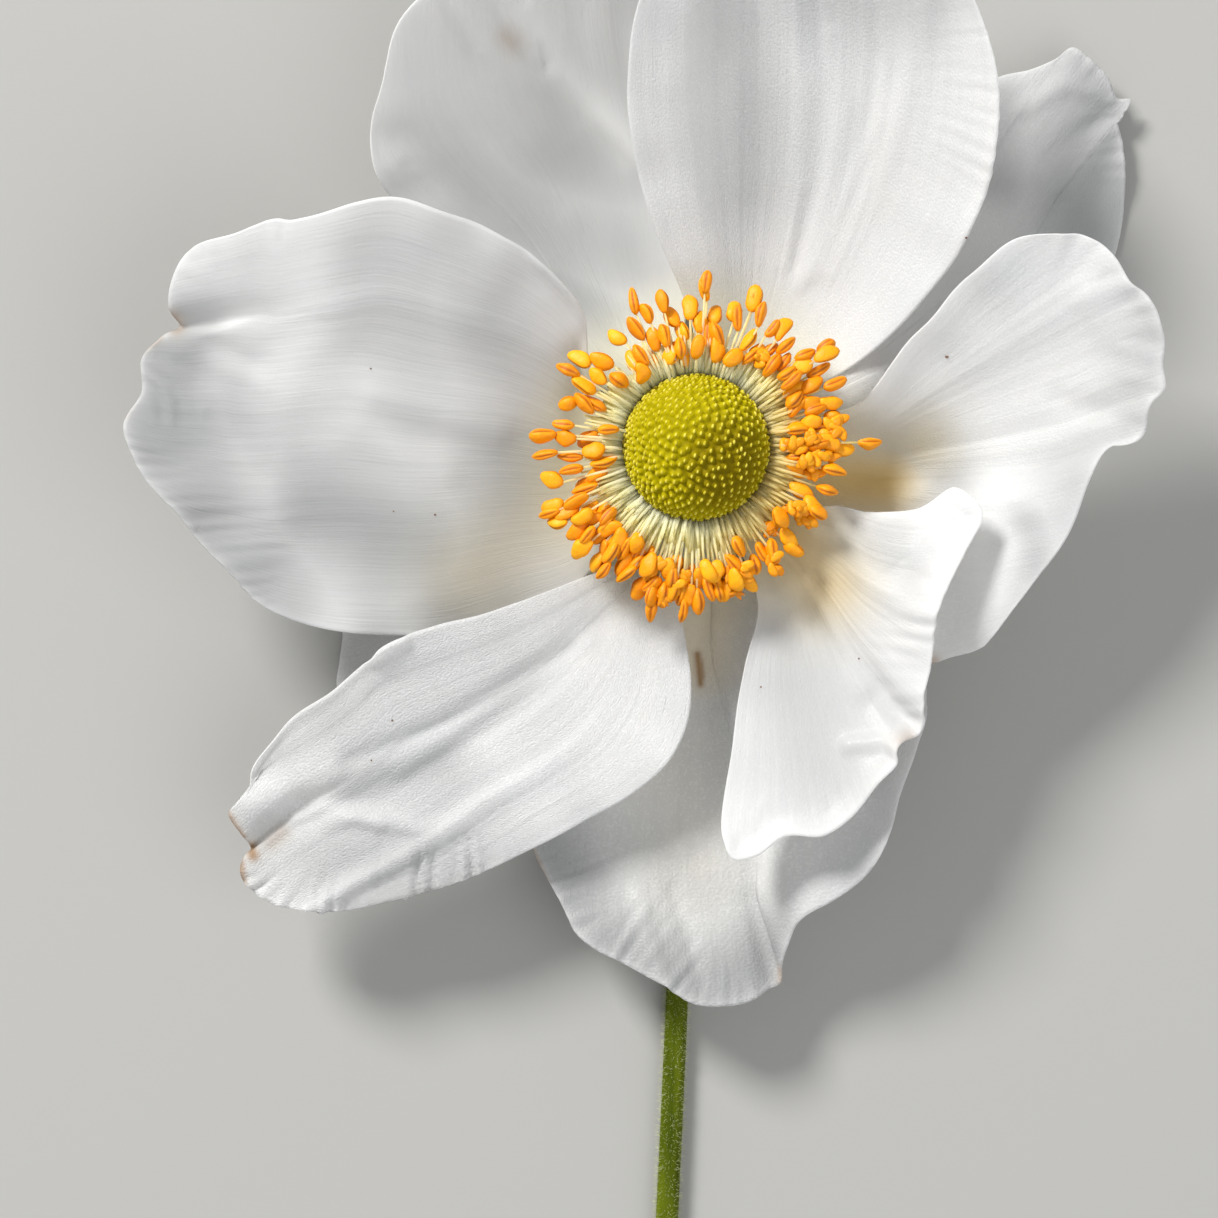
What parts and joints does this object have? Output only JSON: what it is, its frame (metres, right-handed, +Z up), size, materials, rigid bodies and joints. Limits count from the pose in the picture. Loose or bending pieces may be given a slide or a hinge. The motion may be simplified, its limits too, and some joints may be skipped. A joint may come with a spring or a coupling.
{
  "type": "japanese anemone flower",
  "caption": "Cut white single anemone flower lying face up on its stem, with overlapping rounded tepals, a ring of orange stamens and a bumpy green carpel head, used as a natural display piece",
  "frame": {"origin": "under the middle of the bounding box, on the surface that the flower lies on", "axes": "+Z is up, the way the face looks; the stem runs towards -Y; +X is to the right of the face seen with the stem towards the viewer"},
  "size_m": [0.0644, 0.0952, 0.017],
  "materials": {
    "tepal": "soft satin petal",
    "stem": "downy green",
    "carpels": "bumpy, slightly moist",
    "stamens": "powdery"
  },
  "bodies": {
    "root": {"tepal_left": "tepal", "tepal_upper_left": "tepal", "tepal_top": "tepal", "tepal_upper_right": "tepal", "tepal_right": "tepal", "tepal_lower_right": "tepal", "tepal_bottom": "tepal", "tepal_lower_left": "tepal", "tepal_back_left": "tepal", "stem": "stem", "carpel_head": "carpels", "stamens": "stamens"}
  },
  "joints": []
}
